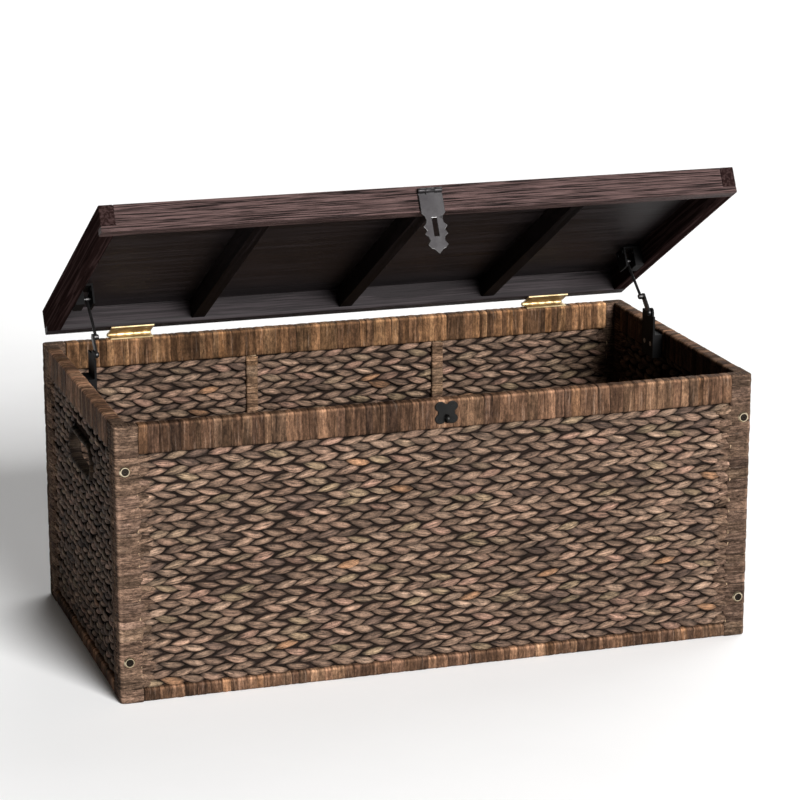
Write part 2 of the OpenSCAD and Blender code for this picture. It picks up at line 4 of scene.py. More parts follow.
import bpy
import numpy as np
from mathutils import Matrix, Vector


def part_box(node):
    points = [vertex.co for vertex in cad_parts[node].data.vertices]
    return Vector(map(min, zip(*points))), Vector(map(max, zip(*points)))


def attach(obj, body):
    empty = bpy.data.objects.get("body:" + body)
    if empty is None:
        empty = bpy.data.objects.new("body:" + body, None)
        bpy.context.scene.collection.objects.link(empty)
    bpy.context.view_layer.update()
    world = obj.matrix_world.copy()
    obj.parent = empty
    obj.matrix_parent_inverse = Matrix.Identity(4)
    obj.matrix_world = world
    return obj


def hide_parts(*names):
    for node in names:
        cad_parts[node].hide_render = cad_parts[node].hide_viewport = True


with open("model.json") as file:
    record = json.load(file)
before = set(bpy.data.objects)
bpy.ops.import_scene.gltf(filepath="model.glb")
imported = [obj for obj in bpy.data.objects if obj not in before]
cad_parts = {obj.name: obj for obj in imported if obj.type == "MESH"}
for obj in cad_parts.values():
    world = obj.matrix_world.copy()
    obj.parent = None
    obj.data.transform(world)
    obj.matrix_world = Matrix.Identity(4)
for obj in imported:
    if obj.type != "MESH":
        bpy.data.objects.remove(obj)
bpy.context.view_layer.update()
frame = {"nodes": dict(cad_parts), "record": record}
nodes = frame["nodes"]
MM = 0.001

# ---------------------------------------------------------------- sizes, in mm
def node_box(name):
    low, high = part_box(name)
    return np.array(low) / MM, np.array(high) / MM


body_low, body_high = node_box("front_stile_wraps")
HALF_W = body_high[0]
BODY_H = body_high[2]
WALL_T = body_high[1] - body_low[1]
HALF_D = -body_low[1]
INNER_Y = HALF_D - WALL_T
weave_low, weave_high = node_box("front_weave")
STILE_W = HALF_W - weave_high[0]
FIELD_LOW, FIELD_HIGH = weave_low[2], weave_high[2]
side_high = node_box("right_weave")[1]
SIDE_L = 2 * INNER_Y
SIDE_STILE_W = INNER_Y - side_high[1]
hole_low, hole_high = node_box("right_hand_hole_lip")
HOLE_Z = (hole_low[2] + hole_high[2]) / 2
LIP_H = hole_high[2] - hole_low[2]
LIP_L = hole_high[1] - hole_low[1]
LIP_T = hole_high[0] - hole_low[0]
LIP_W = 8.0
CORNER_R = 7.0
BRAID_ROWS = 15
ROW_PITCH = (FIELD_HIGH - FIELD_LOW) / BRAID_ROWS


# ---------------------------------------------------------------- mesh building
def inside_out(points, faces):
    """True if the faces of a closed shell look inward."""
    points = points - points.mean(axis=0)
    total = 0.0
    for size in {len(face) for face in faces}:
        ring = points[[face for face in faces if len(face) == size]]
        crosses = np.cross(ring[:, 1:-1], ring[:, 2:])
        total += np.einsum("ik,ijk->", ring[:, 0], crosses)
    return total < 0


class Shells:
    """Collects closed shells, with a colour, a fibre coordinate and a lift value at each point; lift is
    painted highlight where high and painted shade where low.
    """

    def __init__(self):
        self.points, self.faces, self.tone, self.run, self.lift = [], [], [], [], []
        self.count = 0

    def add(self, grid, tone, run, lift, closed_rows=False):
        """grid is rows x ring x 3; the ring is closed. Open rows get a cap at each end."""
        rows, ring = grid.shape[:2]
        index = np.arange(rows * ring).reshape(rows, ring) + self.count
        after = np.roll(index, -1, axis=0) if closed_rows else index[1:]
        before = index if closed_rows else index[:-1]
        quads = np.stack([before, np.roll(before, -1, axis=1),
                          np.roll(after, -1, axis=1), after], axis=-1).reshape(-1, 4)
        faces = quads.tolist()
        if not closed_rows:
            faces += [index[0][::-1].tolist(), index[-1].tolist()]
        local = [[corner - self.count for corner in face] for face in faces]
        if inside_out(grid.reshape(-1, 3), local):
            faces = [face[::-1] for face in faces]
        self.faces += faces
        self.points.append(grid.reshape(-1, 3))
        self.tone.append(np.broadcast_to(tone, (rows, ring, 3)).reshape(-1, 3))
        self.run.append(np.broadcast_to(run, (rows, ring, 3)).reshape(-1, 3))
        self.lift.append(np.broadcast_to(lift, (rows, ring)).reshape(-1))
        self.count += rows * ring

    def build(self, name, material, place=lambda p: p):
        points = place(np.concatenate(self.points)) * MM
        mesh = bpy.data.meshes.new(name)
        mesh.from_pydata(points.tolist(), [], self.faces)
        tone = np.concatenate(self.tone)
        rgba = np.concatenate([tone, np.ones((len(tone), 1))], axis=1).astype(np.float32)
        mesh.attributes.new("tone", "FLOAT_COLOR", "POINT").data.foreach_set("color", rgba.ravel())
        mesh.attributes.new("run", "FLOAT_VECTOR", "POINT").data.foreach_set(
            "vector", np.concatenate(self.run).astype(np.float32).ravel())
        # lift holds the painted highlight and painted shade that the materials multiply into the colour
        mesh.attributes.new("lift", "FLOAT", "POINT").data.foreach_set(
            "value", np.concatenate(self.lift).astype(np.float32))
        mesh.shade_smooth()
        mesh.update()
        return add_object(name, mesh, material)


def add_object(name, mesh, material):
    made = bpy.data.objects.new(name, mesh)
    bpy.context.scene.collection.objects.link(made)
    made.data.materials.append(material)
    return made


# Where a panel drawn along X, with its outside facing -Y, stands
def at_front(p):
    return p + [0, -HALF_D + WALL_T / 2, 0]


def at_back(p):
    return p + [0, HALF_D - WALL_T / 2, 0]


def at_right(p):
    return np.stack([-p[:, 1] + HALF_W - WALL_T / 2, p[:, 0], p[:, 2]], axis=1)


def at_left(p):
    return np.stack([p[:, 1] - HALF_W + WALL_T / 2, -p[:, 0], p[:, 2]], axis=1)


# ---------------------------------------------------------------- node materials
class Nodes:
    """A small helper that wires a material's nodes."""

    def __init__(self, name):
        self.material = bpy.data.materials.new(name)
        self.material.use_nodes = True
        self.tree = self.material.node_tree
        self.shader = self.tree.nodes["Principled BSDF"]

    def add(self, kind, links=(), **values):
        node = self.tree.nodes.new(kind)
        for key, value in values.items():
            if hasattr(node, key):
                setattr(node, key, value)
        for socket, source in dict(links).items():
            if isinstance(source, bpy.types.NodeSocket):
                self.tree.links.new(source, node.inputs[socket])
            else:
                node.inputs[socket].default_value = source
        return node

    def attribute(self, name):
        return self.add("ShaderNodeAttribute", attribute_name=name)

    def scaled(self, vector, scale):
        return self.add("ShaderNodeVectorMath", {0: vector, 1: scale},
                        operation="MULTIPLY").outputs[0]

    def noise(self, vector, scale=1.0, detail=3.0, roughness=0.55, distortion=0.0):
        return self.add("ShaderNodeTexNoise", {"Vector": vector, "Scale": scale,
                        "Detail": detail, "Roughness": roughness,
                        "Distortion": distortion}).outputs["Fac"]

    def span(self, value, low, high, to_low, to_high):
        return self.add("ShaderNodeMapRange", {"Value": value, "From Min": low,
                        "From Max": high, "To Min": to_low, "To Max": to_high}).outputs[0]

    def math(self, operation, a, b):
        return self.add("ShaderNodeMath", {0: a, 1: b}, operation=operation).outputs[0]

    def mix(self, factor, a, b, blend="MIX"):
        node = self.add("ShaderNodeMix", data_type="RGBA", blend_type=blend)
        for socket, source in ((node.inputs[0], factor), (node.inputs[6], a), (node.inputs[7], b)):
            if isinstance(source, bpy.types.NodeSocket):
                self.tree.links.new(source, socket)
            else:
                socket.default_value = source
        return node.outputs[2]

    def bump(self, height, distance, strength=1.0):
        return self.add("ShaderNodeBump", {"Height": height, "Distance": distance,
                        "Strength": strength}).outputs[0]

    def surface(self, **sockets):
        for name, source in sockets.items():
            socket = self.shader.inputs[name.replace("_", " ")]
            if isinstance(source, bpy.types.NodeSocket):
                self.tree.links.new(source, socket)
            else:
                socket.default_value = source
        return self.material


def rgb(red, green, blue):
    return (red, green, blue, 1.0)


def strand_material():
    n = Nodes("weave_strands")
    tone = n.attribute("tone").outputs["Color"]
    run = n.attribute("run").outputs["Vector"]
    lift = n.attribute("lift").outputs["Fac"]
    fibres = n.noise(n.scaled(run, (0.05, 0.46, 1.0)), detail=5.0, roughness=0.75)
    blotch = n.noise(n.scaled(run, (0.10, 0.20, 1.0)), detail=2.0)
    specks = n.noise(n.scaled(run, (0.40, 0.7, 1.0)), detail=2.0, roughness=0.7)
    # painted light: lift scales the colour from painted shade (0.04) to painted highlight (1.5)
    painted_light = n.span(lift, 0.10, 0.98, 0.04, 1.50)
    streak = n.span(fibres, 0.36, 0.64, 0.25, 1.85)
    mottle = n.span(blotch, 0.35, 0.65, 0.70, 1.32)
    speck = n.span(specks, 0.57, 0.68, 1.0, 0.35)
    gain = n.math("MULTIPLY", n.math("MULTIPLY", painted_light, streak), n.math("MULTIPLY", mottle, speck))
    grey = n.add("ShaderNodeCombineColor", {0: gain, 1: gain, 2: gain}).outputs[0]
    colour = n.mix(1.0, tone, grey, "MULTIPLY")
    height = n.math("ADD", fibres, n.math("MULTIPLY", specks, 0.35))
    return n.surface(Base_Color=colour, Roughness=n.span(fibres, 0.3, 0.7, 0.62, 0.85),
                     Specular_IOR_Level=0.16, Normal=n.bump(height, 0.0022, 1.0))


def wrap_material(name, speckle, edge_gain, long, fine, swing, band_swing, grain, gloss, rough):
    """long and fine scale the fibres along and across; swing, band_swing and grain set the
    contrast of the fibres, the broad bands and the grit."""
    n = Nodes(name)
    tone = n.attribute("tone").outputs["Color"]
    run = n.attribute("run").outputs["Vector"]
    lift = n.attribute("lift").outputs["Fac"]
    fibres = n.noise(n.scaled(run, (long, fine, 1.0)), detail=6.0, roughness=0.78)
    broad = n.noise(n.scaled(run, (0.012, 0.085, 1.0)), detail=3.0, distortion=0.4)
    grit = n.noise(n.scaled(run, (0.17, 0.30, 1.0)), detail=4.0, roughness=0.75)
    patch = n.noise(n.scaled(run, (0.06, 0.10, 1.0)), detail=3.0)
    specks = n.noise(n.scaled(run, (0.42, 0.75, 1.0)), detail=2.0, roughness=0.8)
    streak = n.span(fibres, 0.35, 0.65, 1.0 - swing, 1.0 + swing * 1.2)
    band = n.span(broad, 0.36, 0.64, 1.0 - band_swing, 1.0 + band_swing)
    cloud = n.span(patch, 0.3, 0.7, 0.72, 1.25)
    speck = n.span(specks, 0.56, 0.70, 1.0, speckle)
    # edge darkens the colour as painted shade towards the strips' edges; rim brightens it as a painted
    # highlight where lift goes above 1
    edge = n.span(lift, 0.0, 0.6, 0.32, 1.0)
    rim = n.span(lift, 1.0, 2.0, 1.0, edge_gain)
    gain = n.math("MULTIPLY", n.math("MULTIPLY", streak, band), n.math("MULTIPLY", cloud, speck))
    gain = n.math("MULTIPLY", gain, n.math("MULTIPLY", edge, rim))
    gain = n.math("MULTIPLY", gain, n.span(grit, 0.36, 0.64, 1.0 + grain, 1.0 - grain))
    grey = n.add("ShaderNodeCombineColor", {0: gain, 1: gain, 2: gain}).outputs[0]
    colour = n.mix(1.0, tone, grey, "MULTIPLY")
    worn = n.math("MULTIPLY", n.span(fibres, 0.58, 0.70, 0.0, 0.40), edge)
    colour = n.mix(worn, colour, rgb(0.29, 0.228, 0.182))
    height = n.math("ADD", n.math("ADD", fibres, n.math("MULTIPLY", broad, 0.6)),
                    n.math("MULTIPLY", specks, 0.3))
    return n.surface(Base_Color=colour, Roughness=n.span(patch, 0.3, 0.7, rough, rough + 0.25),
                     Specular_IOR_Level=gloss, Normal=n.bump(height, 0.0018, 1.0))


def wood_material(name, dark, light, turn=0.0, along=0, coarse=1.0, relief=0.0009, rough=0.5,
                  gloss=0.18, window=(0.475, 0.57)):
    """Open-grained stained wood. turn rotates the board level about X; along is the grain's axis."""
    n = Nodes(name)
    place = n.add("ShaderNodeTexCoord").outputs["Object"]
    level = n.add("ShaderNodeMapping", {"Vector": place, "Rotation": (turn, 0.0, 0.0)}).outputs[0]
    stretch = [230.0 * coarse] * 3
    stretch[along] = 4.5 * coarse
    wander = [30.0] * 3
    wander[along] = 3.0
    bend = n.noise(n.scaled(level, tuple(wander)), detail=2.0)
    shift = n.add("ShaderNodeVectorMath", {0: n.scaled(level, tuple(stretch)),
                  1: n.scaled(bend, (0.0, 2.2, 2.2))}, operation="ADD").outputs[0]
    lines = n.noise(shift, detail=5.0, roughness=0.62)
    pores = n.noise(n.scaled(shift, (2.0, 3.5, 3.5)), detail=3.0, roughness=0.7)
    tone = n.span(lines, *window, 0.0, 1.0)
    colour = n.mix(tone, rgb(*dark), rgb(*light))
    pit = n.span(pores, 0.52, 0.66, 1.0, 0.45)
    grey = n.add("ShaderNodeCombineColor", {0: pit, 1: pit, 2: pit}).outputs[0]
    colour = n.mix(1.0, colour, grey, "MULTIPLY")
    height = n.math("ADD", lines, n.math("MULTIPLY", pores, -0.3))
    return n.surface(Base_Color=colour, Roughness=n.span(lines, 0.3, 0.7, rough - 0.08, rough + 0.14),
                     Specular_IOR_Level=gloss, Normal=n.bump(height, relief))


def metal_material(name, base, shade, rough, metallic):
    """Metal with fine scratches. base and shade are its two colours."""
    n = Nodes(name)
    scale = 400.0
    place = n.add("ShaderNodeTexCoord").outputs["Object"]
    fine = n.noise(place, scale=scale, detail=3.0)
    broad = n.noise(place, scale=scale / 8, detail=3.0)
    colour = n.mix(n.span(broad, 0.35, 0.65, 0.0, 1.0), rgb(*base), rgb(*shade))
    return n.surface(Base_Color=colour, Metallic=metallic,
                     Roughness=n.span(fine, 0.3, 0.7, rough - 0.07, rough + 0.1),
                     Normal=n.bump(fine, 0.00012, 0.3))


def plain_material(name, base, shade, rough, scale=60.0, relief=0.0003, gloss=0.2):
    """An even surface with faint clouds of a second colour."""
    n = Nodes(name)
    place = n.add("ShaderNodeTexCoord").outputs["Object"]
    cloud = n.noise(place, scale=scale, detail=4.0)
    colour = n.mix(n.span(cloud, 0.35, 0.65, 0.0, 1.0), rgb(*base), rgb(*shade))
    return n.surface(Base_Color=colour, Roughness=n.span(cloud, 0.3, 0.7, rough - 0.06, rough + 0.06),
                     Specular_IOR_Level=gloss, Normal=n.bump(cloud, relief, 0.6))


# ---------------------------------------------------------------- braided rows
PETAL_PITCH = 28.9      # from one crossing of a braid to the next on the same side
PETAL_L = 36.0          # length of a strand's showing part with its tucked-in ends
PETAL_A = 5.1           # half width of a strand
PETAL_T = 3.0           # half thickness of a strand
PETAL_LOW, PETAL_HIGH, PETAL_BOW = 1.0, 7.8, 1.0     # how it leaves the middle of the row
PETAL_SINK, PETAL_BULGE = 0.5, 3.0                   # how far its ends and middle stand out
STRAND_WASH = np.array([0.505, 0.488, 0.462])
STRAND_TONES = STRAND_WASH * np.array([
    [0.215, 0.142, 0.103], [0.185, 0.121, 0.088], [0.235, 0.150, 0.110], [0.165, 0.108, 0.080],
    [0.245, 0.166, 0.122], [0.220, 0.158, 0.104], [0.205, 0.143, 0.100], [0.240, 0.146, 0.110],
    [0.310, 0.172, 0.100], [0.115, 0.075, 0.058]])
STRAND_ODDS = np.array([20, 18, 14, 12, 12, 5, 6, 6, 1.2, 5.8])
STRAND_ODDS = STRAND_ODDS / STRAND_ODDS.sum()


def petal(shells, x0, z_mid, up, face, rng, tone, limits, proud=0.0):
    """The part of a strand that shows between two crossings, from the middle of the row out."""
    rows = 14
    ring = 12
    low, high = np.clip((np.array(limits) - x0) / PETAL_L, 0, 1)
    if high - low < 0.15:
        return
    s = low + (high - low) * (0.5 - 0.5 * np.cos(np.linspace(0, math.pi, rows)))
    fat, tall, lean, roll, slant = rng.uniform(-1, 1, 5)
    arch = np.sin(math.pi * s ** (1.08 + 0.12 * slant))
    rise = (PETAL_LOW + (PETAL_HIGH - PETAL_LOW) * s + (PETAL_BOW + 0.8 * lean) * arch
            + 1.3 * slant * (s - 0.5))
    near = np.clip(np.minimum(x0 + PETAL_L * s - limits[0], limits[1] - x0 - PETAL_L * s) / 22, 0, 1)
    depth = PETAL_SINK + (PETAL_BULGE + 0.8 * tall) * arch ** 0.8 * (0.35 + 0.65 * near) + proud
    centre = np.stack([x0 + PETAL_L * s, -face * depth, z_mid + up * rise], axis=1)
    along = np.gradient(centre, axis=0)
    along /= np.linalg.norm(along, axis=1, keepdims=True)
    flat = np.cross(along, np.array([0.0, -face, 0.0]))
    flat /= np.linalg.norm(flat, axis=1, keepdims=True)
    out = np.cross(flat, along)
    turn = np.linspace(0, 2 * math.pi, ring, endpoint=False)
    tilt = turn[None, :] + 0.22 * roll
    wide = PETAL_A * (1 + 0.15 * fat) * arch ** 0.72 + 0.15
    thick = PETAL_T * (0.06 + 0.94 * arch ** 0.45)
    crease = (1 + 0.08 * np.sin(4 * turn[None, :] + rng.uniform(0, 7) + 2.5 * s[:, None])
              + 0.05 * np.sin(2 * turn[None, :] + rng.uniform(0, 7) - 4 * s[:, None]))
    grid = (centre[:, None, :]
            + flat[:, None, :] * (wide[:, None] * np.cos(tilt) * crease)[..., None]
            + out[:, None, :] * (thick[:, None] * np.sin(turn)[None, :] * crease)[..., None])
    run = np.stack([np.broadcast_to((PETAL_L * s)[:, None], (rows, ring)),
                    wide[:, None] * np.cos(turn)[None, :],
                    np.full((rows, ring), rng.uniform(0, 400))], axis=-1)
    # painted highlight along each strand's middle on its outer side; painted shade at its ends, on its
    # back, and near the span's ends where the strands tuck under the stiles or the hand hole's lip
    painted_light = arch[:, None] ** 0.7 * (0.2 + 0.8 * np.clip(np.sin(turn), 0, 1)[None, :] ** 1.1)
    painted_light = painted_light * (0.3 + 0.7 * near)[:, None]
    shells.add(grid, tone, run, painted_light)


def plait(shells, start, end, z_mid, phase, waves, rng, shade):
    """One braid of three strands from start to end along X, seen from both faces of the wall."""
    for face in (1, -1):
        for up in (1, -1):
            x0 = start - PETAL_L + PETAL_PITCH * ((phase + 0.25 * face + 0.25 * up) % 1.0)
            while x0 < end:
                x0 += PETAL_PITCH
                bend = sum(a * math.sin(x0 / l + p) for a, l, p in waves)
                tone = STRAND_TONES[rng.choice(len(STRAND_TONES), p=STRAND_ODDS)]
                petal(shells, x0 - PETAL_PITCH + bend + rng.uniform(-2.2, 2.2),
                      z_mid + rng.uniform(-0.7, 0.7), up, face, rng,
                      tone * shade * rng.uniform(0.70, 1.30), (start, end))


def row_waves(rng, columns):
    """Slow drift shared by the rows of a wall, with a little of the row's own."""
    return columns + [(rng.uniform(0.8, 2.2), rng.uniform(35, 80), rng.uniform(0, 7))]


def clear_spans(start, end, z, half_h):
    """The parts of a side wall's row that don't run into the hand hole's lip."""
    inset = 3.0
    radius = LIP_H / 2 - inset
    gap = abs(z - HOLE_Z) - half_h * 0.55
    if gap >= radius:
        return [(start, end)]
    reach = LIP_L / 2 - LIP_H / 2 + math.sqrt(radius ** 2 - max(gap, 0.0) ** 2)
    return [(start, -reach), (reach, end)]


def braided_wall(name, place, start, end, seed, shade=1.0, hand_hole=False):
    rng = np.random.default_rng(seed)
    columns = [(5.0, 150.0, rng.uniform(0, 7)), (3.0, 67.0, rng.uniform(0, 7))]
    phase = rng.uniform(0, 1)
    made = []
    for row in range(BRAID_ROWS):
        z = FIELD_LOW + ROW_PITCH * (row + 0.5)
        phase += rng.uniform(-0.10, 0.14)
        spans = clear_spans(start, end, z, ROW_PITCH / 2) if hand_hole else [(start, end)]
        shells = Shells()
        waves = row_waves(rng, columns)
        for low, high in spans:
            plait(shells, low, high, z, phase, waves, rng, shade)
        piece = shells.build(f"{name}_braid_row_{row + 1:02d}", strands, place)
        made.append(piece)
    node = f"{name}_weave"
    for piece in made:
        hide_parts(node)
        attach(piece, "trunk")


def box_shell(shells, low, high, tone=(0.02, 0.015, 0.012)):
    (x0, y0, z0), (x1, y1, z1) = low, high
    grid = np.array([[[x0, y0, z], [x1, y0, z], [x1, y1, z], [x0, y1, z]] for z in (z0, z1)], float)
    shells.add(grid, np.array(tone), np.zeros(3), np.zeros(()))


def wall_core(name, place, start, end, hand_hole=False):
    """The thin backing between the two faces of the braids, near black as painted shade in the gaps
    between the strands.
    """
    shells = Shells()
    half = 0.8
    under_lip = 2
    if hand_hole:
        hole_x, hole_h = LIP_L / 2 - under_lip, LIP_H / 2 - under_lip
        box_shell(shells, (start, -half, FIELD_LOW), (-hole_x, half, FIELD_HIGH))
        box_shell(shells, (hole_x, -half, FIELD_LOW), (end, half, FIELD_HIGH))
        box_shell(shells, (-hole_x, -half, FIELD_LOW), (hole_x, half, HOLE_Z - hole_h))
        box_shell(shells, (-hole_x, -half, HOLE_Z + hole_h), (hole_x, half, FIELD_HIGH))
    else:
        box_shell(shells, (start, -half, FIELD_LOW), (end, half, FIELD_HIGH))
    piece = shells.build(f"{name}_weave_core", core_paint, place)
    piece.data.polygons.foreach_set("use_smooth", [False] * len(piece.data.polygons))
    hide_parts(f"{name}_weave")
    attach(piece, "trunk")


# ---------------------------------------------------------------- wound strips
RAIL_TONES = np.array([[0.170, 0.116, 0.084], [0.140, 0.095, 0.068], [0.190, 0.130, 0.092],
                       [0.205, 0.146, 0.104], [0.115, 0.079, 0.060], [0.205, 0.135, 0.088],
                       [0.170, 0.124, 0.092], [0.095, 0.067, 0.052], [0.235, 0.170, 0.122]])
RAIL_ODDS = np.array([22, 20, 14, 10, 12, 5, 9, 5, 3.0])
RAIL_ODDS = RAIL_ODDS / RAIL_ODDS.sum()
STILE_TONES = np.array([[0.235, 0.175, 0.140], [0.205, 0.150, 0.122], [0.250, 0.185, 0.155],
                        [0.180, 0.135, 0.108], [0.270, 0.205, 0.160]])
STILE_ODDS = np.array([30, 25, 20, 15, 10.0])
STILE_ODDS = STILE_ODDS / STILE_ODDS.sum()


def rounded_loop(half_a, half_b, radii):
    """A closed path round a rectangle, with its outward normals. radii are the corners' radii,
    anticlockwise from (+a, +b)."""
    points, normals = [], []
    corners = [(1, 1, 0), (-1, 1, 90), (-1, -1, 180), (1, -1, 270)]
    spots = 5
    for (sa, sb, first), radius in zip(corners, radii):
        for angle in np.radians(np.linspace(first, first + 90, spots)):
            n = np.array([math.cos(angle), math.sin(angle)])
            points.append(np.array([sa * (half_a - radius), sb * (half_b - radius)]) + radius * n)
            normals.append(n)
    points, normals = np.array(points), np.array(normals)
    dense_p, dense_n = [], []
    for i in range(len(points)):
        p, q = points[i], points[(i + 1) % len(points)]
        n, m = normals[i], normals[(i + 1) % len(points)]
        cuts = max(1, int(np.linalg.norm(q - p) / (6)))
        for c in range(cuts):
            dense_p.append(p + (q - p) * c / cuts)
            mid = n + (m - n) * c / cuts
            dense_n.append(mid / np.linalg.norm(mid))
    return np.array(dense_p), np.array(dense_n)


def strip(shells, loop, centre, width, tone, rng, tilt=0.0, rise=0.0, reach=None, bright=None,
          within=(-1000.0, 1000.0)):
    """One strip wound round a rail, as a closed band. loop gives points and normals in the cross
    section; the third coordinate runs along the rail. reach stretches one side as a tongue."""
    points, normals = loop
    across = np.array([-1, -0.86, -0.5, 0, 0.5, 0.86, 1, 1, -1])
    height = np.array([1.10, 1.60, 1.78, 1.85, 1.78, 1.60, 1.10, -0.6, -0.6])
    count = len(points)
    length = np.cumsum(np.concatenate([[0], np.linalg.norm(np.diff(points, axis=0), axis=1)]))
    total = length[-1] + np.linalg.norm(points[0] - points[-1])
    round_turn = 2 * math.pi * length / total
    wave = (0.25 * np.sin(round_turn * 2 + rng.uniform(0, 7))
            + 0.2 * np.sin(round_turn * 5 + rng.uniform(0, 7)))
    ridge = 0.16 * rng.uniform(-1, 1, (1, len(across)))
    ridge[:, -2:] = 0
    lift = height[None, :] + rise + ridge + 0.12 * np.sin(
        round_turn[:, None] * rng.integers(3, 8) + across[None, :] * 4)
    lift[:, -2:] = -0.6
    flat = points[:, None, :] + normals[:, None, :] * lift[..., None]
    third = centre + across[None, :] * width / 2 + wave[:, None] + tilt * np.sin(round_turn)[:, None]
    third = np.clip(third, *within)
    if reach is not None:
        flat = reach(flat, across)
    grid = np.concatenate([flat, np.broadcast_to(third[..., None], flat.shape[:2] + (1,))], axis=-1)
    run = np.stack([np.broadcast_to(length[:, None], (count, len(across))),
                    np.broadcast_to(across[None, :] * width / 2 + centre, (count, len(across))),
                    np.full((count, len(across)), rng.uniform(0, 90))], axis=-1)
    # painted shade towards each strip's edges, where strips meet; bright adds a painted highlight on top
    # of it
    painted_light = np.broadcast_to(np.array([0, 0.6, 1, 1, 1, 0.6, 0, 0, 0.0])[None, :],
                            (count, len(across))).copy()
    if bright is not None:
        painted_light += bright(points, normals)[:, None] * (painted_light > 0.5)
    shells.add(grid, tone, run, painted_light, closed_rows=True)


def strip_widths(rng, total, low, high, typical):
    """Random widths between low and high that add up to total."""
    widths = []
    while sum(widths) < total:
        widths.append(float(np.clip(rng.lognormal(math.log(typical), 0.35), low, high)))
    return np.array(widths) * total / sum(widths)


STRIP_LIFT = 1.9         # from a winding's core to the face of its strips
RAIL_TINT = np.array([0.47, 0.372, 0.305])
UPRIGHT_TINT = np.array([0.80, 0.70, 0.60])
# brighter and warmer than RAIL_TINT: painted light on the back wall's top rail
BACK_RAIL_PAINTED_LIGHT_TINT = np.array([0.76, 0.57, 0.39])
STILE_TINT = np.array([0.38, 0.322, 0.274])


def rail_wrap(name, place, start, end, z0, z1, seed, tint):
    """A rail along X, wound with upright strips."""
    rng = np.random.default_rng(seed)
    half_y, half_z = WALL_T / 2 - STRIP_LIFT, (z1 - z0) / 2 - STRIP_LIFT
    loop = rounded_loop(half_y, half_z, (2.5, 2.5, 2.5, 2.5))
    z_mid = (z0 + z1) / 2
    shells = Shells()
    position = start
    tone_walk = 0.75
    for width in strip_widths(rng, end - start, 6, 24, 11.5):
        tone = tint * RAIL_TONES[rng.choice(len(RAIL_TONES), p=RAIL_ODDS)]
        tone_walk = np.clip(tone_walk + rng.uniform(-0.19, 0.22), 0.65, 1.35)
        # bright lightens the strips' top and upper edges: partly wear, partly painted highlight
        strip(shells, loop, position + width / 2, width + 1.3,
              tone * tone_walk * rng.uniform(0.74, 1.28), rng,
              tilt=rng.uniform(-0.8, 0.8), rise=rng.uniform(-0.25, 0.2),
              bright=lambda p, n: (p[:, 1] > 0) * np.clip(1.15 - np.abs(n[:, 1] - 0.7) * 2.2, 0, 1))
        position += width
    def put(p):
        return place(np.stack([p[:, 2], p[:, 0], p[:, 1] + z_mid], axis=1))
    piece = shells.build(f"{name}_strips", rail_paint, put)
    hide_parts(name)
    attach(piece, "trunk")


def stile_fingers(shells, side, length, width, rng):
    """The tapered ends of the stile's windings, laid over the first crossings of the braids."""
    edge = side * (length / 2 - width)
    for face in (1, -1):
        z, up = FIELD_LOW + 5.0, 1
        while z < FIELD_HIGH - 5:
            tone = STILE_TINT * STILE_TONES[rng.choice(len(STILE_TONES), p=STILE_ODDS)]
            middle = edge + rng.uniform(-3.0, 4.5) * -side
            petal(shells, middle - PETAL_L / 2, z - up * (PETAL_LOW + PETAL_HIGH) / 2, up, face, rng,
                  tone * rng.uniform(0.7, 1.45), (-length, length), rng.uniform(0.8, 1.8))
            z += rng.uniform(6.5, 11.0)
            up = -up


def stile_cap(shells, loop, top, tone):
    """The wound-over top end of a stile."""
    points, normals = loop
    rings = ((1.0, 1.5, -4.0), (1.0, 1.6, -1.9), (1.0, 1.1, -0.8), (1.0, 0.1, -0.15),
             (0.75, 0.0, 0.0), (0.4, 0.0, 0.05), (0.02, 0.0, 0.05))
    grid = np.stack([np.concatenate([points * share + normals * out,
                                     np.full((len(points), 1), top + up)], axis=1)
                     for share, out, up in rings])
    run = grid[..., [1, 0, 2]]
    shells.add(grid, tone, run, np.ones(grid.shape[:2]))


